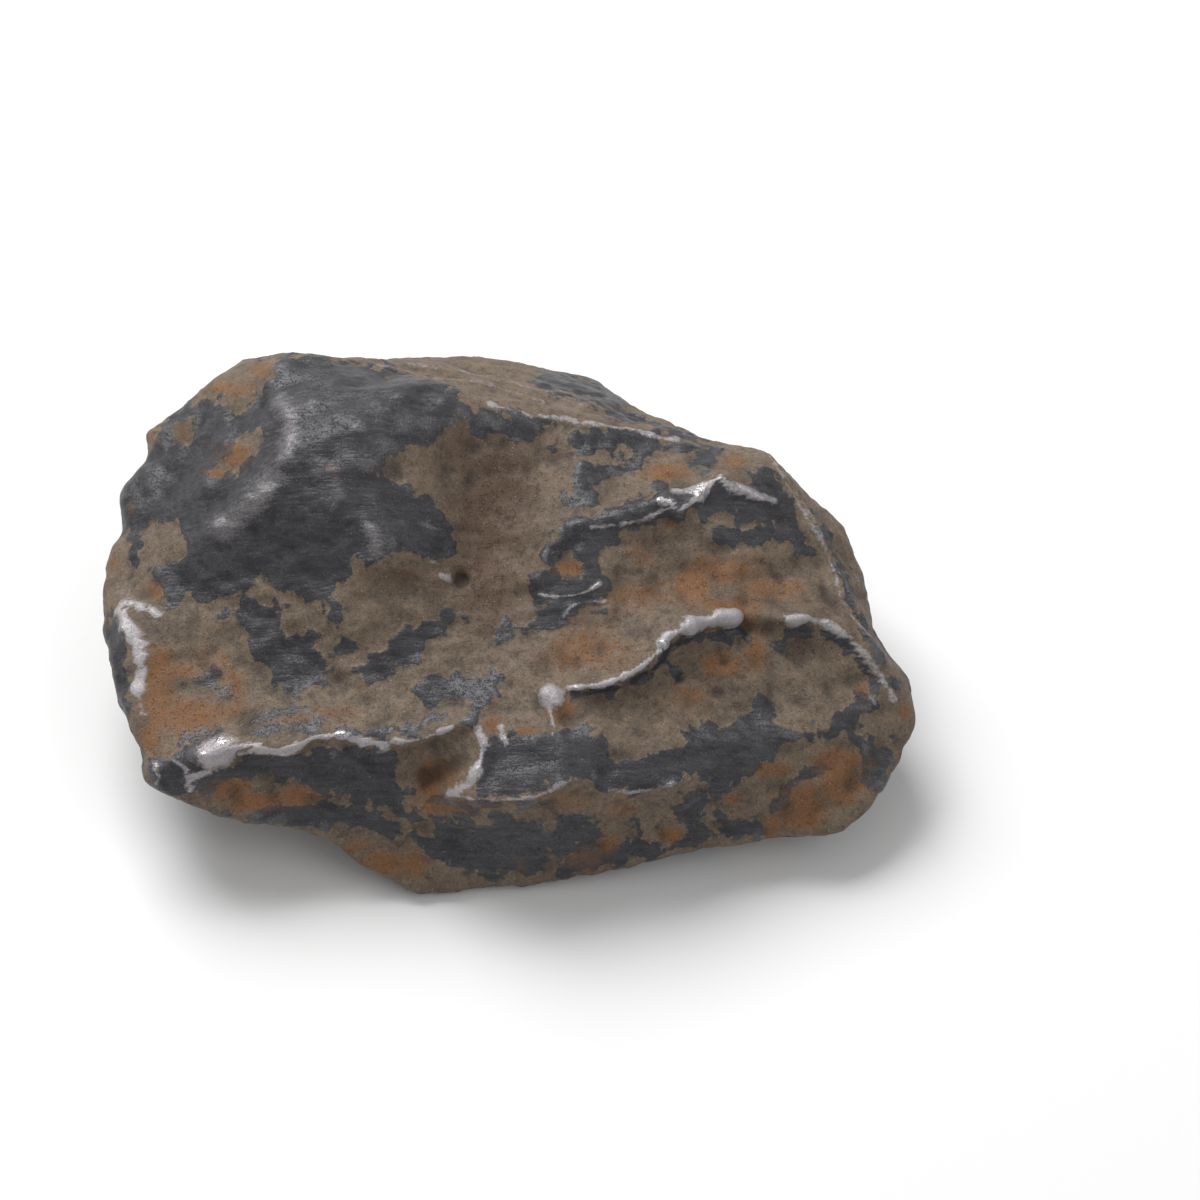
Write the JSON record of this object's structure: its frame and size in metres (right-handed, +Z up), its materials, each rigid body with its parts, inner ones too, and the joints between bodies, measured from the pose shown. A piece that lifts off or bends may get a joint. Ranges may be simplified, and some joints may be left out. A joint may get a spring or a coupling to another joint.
{
  "type": "iron meteorite",
  "caption": "Weathered iron meteorite: a low, folded lump of nickel-iron with ledges, beads and hollows, lying on a small flat spot",
  "frame": {"origin": "middle of the bounding box's bottom, on the table under the lump", "axes": "+X along the lump's length, +Y away from the viewer of the picture, +Z up from the table"},
  "size_m": [0.0556, 0.0404, 0.0208],
  "materials": {
    "weathered_iron": "dark grey-black oxide skin over tan and rust-brown iron, satin, with bright worn ridges"
  },
  "bodies": {
    "root": {"meteorite": "weathered_iron"}
  },
  "joints": []
}
